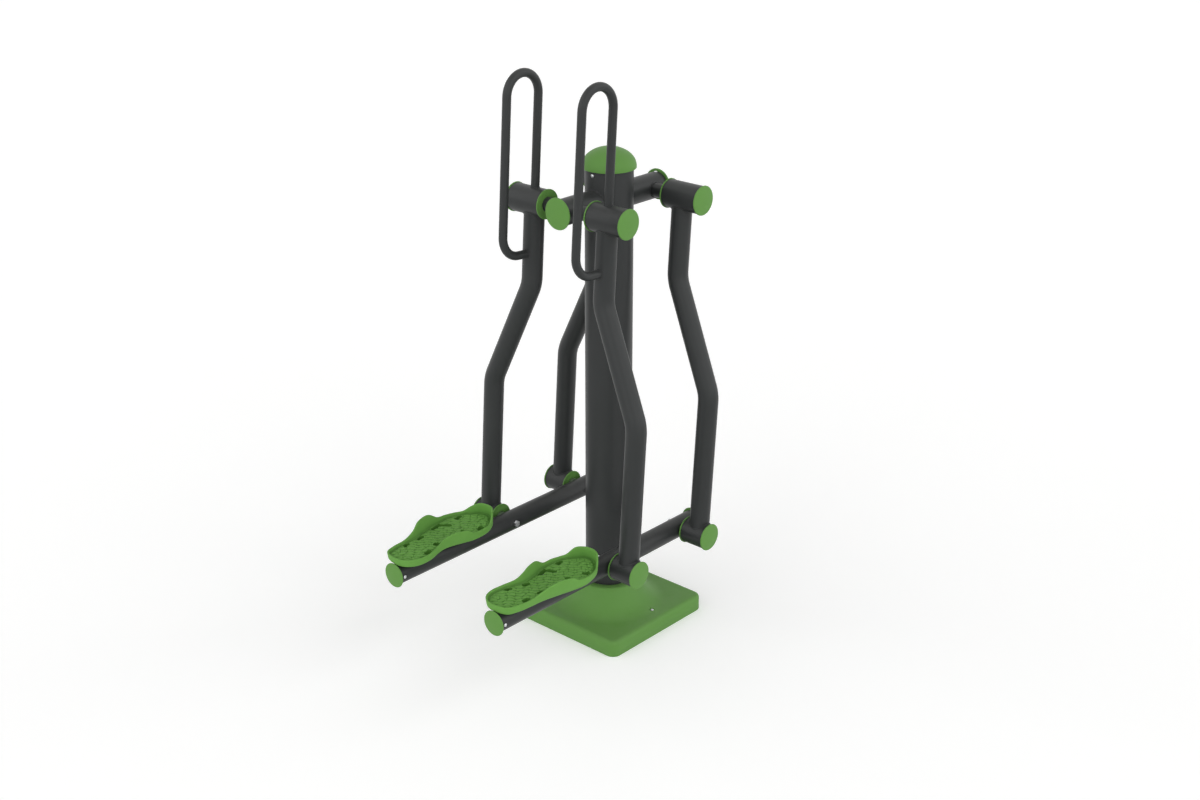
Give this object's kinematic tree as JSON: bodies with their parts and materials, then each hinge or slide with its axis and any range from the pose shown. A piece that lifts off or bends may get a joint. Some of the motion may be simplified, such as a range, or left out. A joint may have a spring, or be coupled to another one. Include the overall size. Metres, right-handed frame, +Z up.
{
  "type": "outdoor air walker",
  "caption": "Post-mounted outdoor air walker: each side has a pedal beam with a footplate on parallel swinging arms and a loop handle, over a square covered base.",
  "frame": {"origin": "on the ground, where the axis of the post meets the underside of the anchor flange", "axes": "+Z up; the user stands at -Y and faces +Y; +X is the user's right hand, along the pivot axes"},
  "size_m": [0.6532, 0.9147, 1.7132],
  "materials": {
    "dark_paint": "satin powder coat",
    "green_plastic": "satin moulded",
    "green_footplate": "textured moulded",
    "bright_steel": "stainless",
    "axle_steel": "turned",
    "zinc_steel": "galvanised",
    "black_rubber": "moulded"
  },
  "bodies": {
    "frame": {"anchor_flange": "zinc_steel", "flange_ribs": "zinc_steel", "post": "dark_paint", "base_cover": "green_plastic", "cover_standoffs": "zinc_steel", "cover_screws": "bright_steel", "crossbar": "dark_paint", "post_cap": "green_plastic", "post_cap_screw": "bright_steel", "crossbar_caps": "green_plastic", "crossbar_cap_screws": "bright_steel", "front_axle": "axle_steel", "rear_axle": "axle_steel", "axle_spacers": "dark_paint", "axle_nuts": "bright_steel", "stop_collars": "axle_steel"},
    "right_front_arm": {"right_front_upper_sleeve": "dark_paint", "right_front_arm_tube": "dark_paint", "right_front_lower_sleeve": "dark_paint", "right_front_bearings": "bright_steel", "right_front_sleeve_caps": "green_plastic", "right_front_sleeve_rings": "green_plastic", "right_handle": "dark_paint", "right_stop_buffers": "black_rubber"},
    "right_rear_arm": {"right_rear_upper_sleeve": "dark_paint", "right_rear_arm_tube": "dark_paint", "right_rear_lower_sleeve": "dark_paint", "right_rear_bearings": "bright_steel", "right_rear_sleeve_caps": "green_plastic", "right_rear_sleeve_rings": "green_plastic"},
    "right_pedal_beam": {"right_beam": "dark_paint", "right_beam_front_cap": "green_plastic", "right_beam_rear_cap": "green_plastic", "right_beam_cap_screws": "bright_steel", "right_footplate": "green_footplate", "right_footplate_straps": "dark_paint", "right_lower_axles": "axle_steel", "right_lower_axle_bolts": "bright_steel"},
    "left_front_arm": {"left_front_upper_sleeve": "dark_paint", "left_front_arm_tube": "dark_paint", "left_front_lower_sleeve": "dark_paint", "left_front_bearings": "bright_steel", "left_front_sleeve_caps": "green_plastic", "left_front_sleeve_rings": "green_plastic", "left_handle": "dark_paint", "left_stop_buffers": "black_rubber"},
    "left_rear_arm": {"left_rear_upper_sleeve": "dark_paint", "left_rear_arm_tube": "dark_paint", "left_rear_lower_sleeve": "dark_paint", "left_rear_bearings": "bright_steel", "left_rear_sleeve_caps": "green_plastic", "left_rear_sleeve_rings": "green_plastic"},
    "left_pedal_beam": {"left_beam": "dark_paint", "left_beam_front_cap": "green_plastic", "left_beam_rear_cap": "green_plastic", "left_beam_cap_screws": "bright_steel", "left_footplate": "green_footplate", "left_footplate_straps": "dark_paint", "left_lower_axles": "axle_steel", "left_lower_axle_bolts": "bright_steel"}
  },
  "joints": [
    {"name": "right_front_arm_pivot", "type": "hinge", "parent": "frame", "child": "right_front_arm", "pos_m": [0.1505, -0.1603, 1.332], "axis": [1, 0, 0], "range_deg": [-26.1, 33.9]},
    {"name": "right_beam_pivot", "type": "hinge", "parent": "right_front_arm", "child": "right_pedal_beam", "pos_m": [0.2801, -0.22859, 0.33033], "axis": [1, 0, 0], "range_deg": [-33.9, 26.1]},
    {"name": "right_rear_arm_pivot", "type": "hinge", "parent": "frame", "child": "right_rear_arm", "pos_m": [0.1505, 0.1603, 1.332], "axis": [1, 0, 0], "range_deg": [-26.1, 33.9]},
    {"name": "left_front_arm_pivot", "type": "hinge", "parent": "frame", "child": "left_front_arm", "pos_m": [-0.1505, -0.1603, 1.332], "axis": [1, 0, 0], "range_deg": [-26.1, 33.9]},
    {"name": "left_beam_pivot", "type": "hinge", "parent": "left_front_arm", "child": "left_pedal_beam", "pos_m": [-0.2801, -0.22859, 0.33033], "axis": [1, 0, 0], "range_deg": [-33.9, 26.1]},
    {"name": "left_rear_arm_pivot", "type": "hinge", "parent": "frame", "child": "left_rear_arm", "pos_m": [-0.1505, 0.1603, 1.332], "axis": [1, 0, 0], "range_deg": [-26.1, 33.9]}
  ],
  "couplings": [
    {"joint": "right_beam_pivot", "follows": "right_front_arm_pivot", "ratio": -1},
    {"joint": "right_rear_arm_pivot", "follows": "right_front_arm_pivot", "ratio": 1},
    {"joint": "left_beam_pivot", "follows": "left_front_arm_pivot", "ratio": -1},
    {"joint": "left_rear_arm_pivot", "follows": "left_front_arm_pivot", "ratio": 1}
  ]
}
